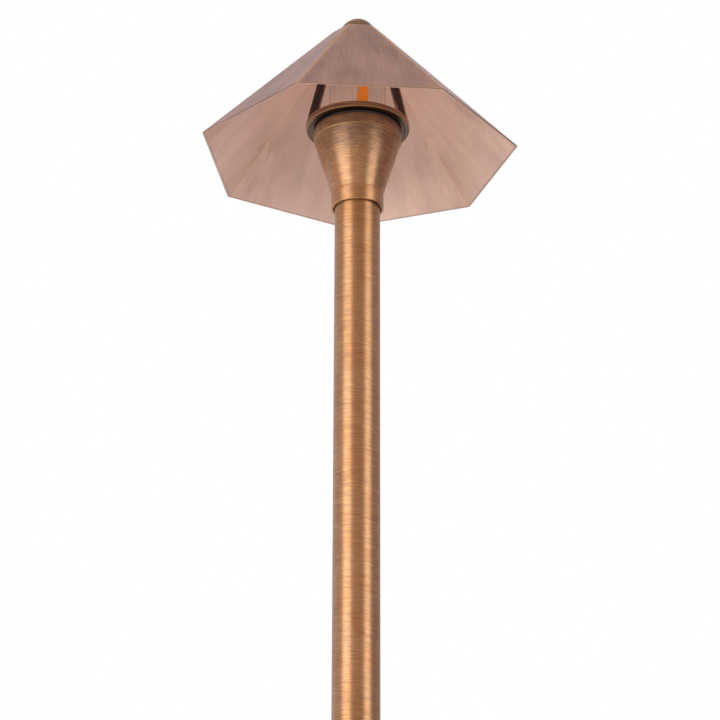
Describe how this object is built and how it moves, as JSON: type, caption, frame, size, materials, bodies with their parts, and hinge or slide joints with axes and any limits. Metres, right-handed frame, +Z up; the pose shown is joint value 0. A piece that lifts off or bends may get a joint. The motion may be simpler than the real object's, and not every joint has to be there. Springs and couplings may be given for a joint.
{
  "type": "path light",
  "caption": "Path light with a faceted sheet-metal shade on a lens cage, a clear domed lens over a plug-in lamp, a tapered lamp housing, a tube stem and a ground stake.",
  "frame": {"origin": "on the stem's axis at ground level, in the underside of the stake's flange", "axes": "+Z up along the stem, -Y towards the viewer between the cage's two arms, +X along the cable outlet"},
  "size_m": [0.1768, 0.1758, 0.7913],
  "materials": {
    "shade_bronze": "brushed antique bronze on sheet, lighter inside",
    "housing_bronze": "turned, with fine rings, antique bronze",
    "stem_bronze": "brushed round the tube, antique bronze",
    "cage_bronze": "dark antique bronze, rubbed edges",
    "finial_bronze": "turned antique bronze",
    "foot_bronze": "turned antique bronze",
    "bare_brass": "machined",
    "clear_glass": "clear, moulded",
    "capsule_glass": "clear, thin",
    "phosphor_coating": "orange phosphor in silicone",
    "board_ceramic": "white, matt",
    "lamp_ceramic": "white, matt",
    "socket_ceramic": "off-white, matt",
    "pin_metal": "bright pins",
    "contact_metal": "nickel plated spring metal",
    "screw_steel": "stainless",
    "bracket_steel": "stainless strip",
    "black_rubber": "matt black",
    "clear_silicone": "milky silicone",
    "lead_silicone": "white silicone sleeve",
    "cap_plastic": "black crimp cap",
    "bushing_plastic": "black nylon",
    "stake_plastic": "moulded, lightly grained"
  },
  "bodies": {
    "stake": {"ground_stake": "stake_plastic", "cable_grommet": "black_rubber"},
    "stake_washer": {"stake_washer": "black_rubber"},
    "pole": {"stem_foot": "foot_bronze", "stem": "stem_bronze", "stem_plug": "bare_brass", "wire_bushing": "bushing_plastic", "stem_seal": "black_rubber", "lamp_housing": "housing_bronze", "socket_bracket": "bracket_steel", "bracket_screws": "screw_steel", "lamp_socket": "socket_ceramic", "socket_contacts": "contact_metal", "socket_screws": "screw_steel", "socket_leads": "lead_silicone", "splice_caps": "cap_plastic"},
    "lamp": {"lamp_base": "lamp_ceramic", "lamp_pins": "pin_metal", "lamp_capsule": "capsule_glass", "led_board": "board_ceramic", "led_coating": "phosphor_coating"},
    "cage_gasket": {"cage_gasket": "black_rubber"},
    "cage": {"lens_cage": "cage_bronze", "lens_glass": "clear_glass", "lens_seal_top": "clear_silicone", "lens_seal_bottom": "clear_silicone", "shade_pad": "black_rubber"},
    "shade": {"shade": "shade_bronze"},
    "finial_washer": {"finial_washer": "black_rubber"},
    "finial": {"finial": "finial_bronze"}
  },
  "joints": [
    {"name": "stem_rise", "type": "slide", "parent": "stake", "child": "stake_washer", "axis": [0, 0, 1], "range_m": [0, 0.0127]},
    {"name": "stem_turn", "type": "hinge", "parent": "stake_washer", "child": "pole", "pos_m": [0, 0, 0], "axis": [0, 0, 1], "range_deg": [0, 2520]},
    {"name": "lamp_pull", "type": "slide", "parent": "pole", "child": "lamp", "axis": [0, 0, 1], "range_m": [0, 0.008]},
    {"name": "cage_rise", "type": "slide", "parent": "pole", "child": "cage_gasket", "axis": [0, 0, 1], "range_m": [0, 0.006]},
    {"name": "cage_turn", "type": "hinge", "parent": "cage_gasket", "child": "cage", "pos_m": [0, 0, 0.508], "axis": [0, 0, 1], "range_deg": [0, 1440]},
    {"name": "shade_lift", "type": "slide", "parent": "cage", "child": "shade", "axis": [0, 0, 1], "range_m": [0, 0.1]},
    {"name": "finial_rise", "type": "slide", "parent": "shade", "child": "finial_washer", "axis": [0, 0, 1], "range_m": [0, 0.0056]},
    {"name": "finial_turn", "type": "hinge", "parent": "finial_washer", "child": "finial", "pos_m": [0, 0, 0.5723], "axis": [0, 0, 1], "range_deg": [0, 2520]}
  ],
  "couplings": [
    {"joint": "stem_turn", "follows": "stem_rise", "rad_per_m": 3463.1},
    {"joint": "cage_turn", "follows": "cage_rise", "rad_per_m": 4188.7},
    {"joint": "finial_turn", "follows": "finial_rise", "rad_per_m": 7853.9}
  ]
}
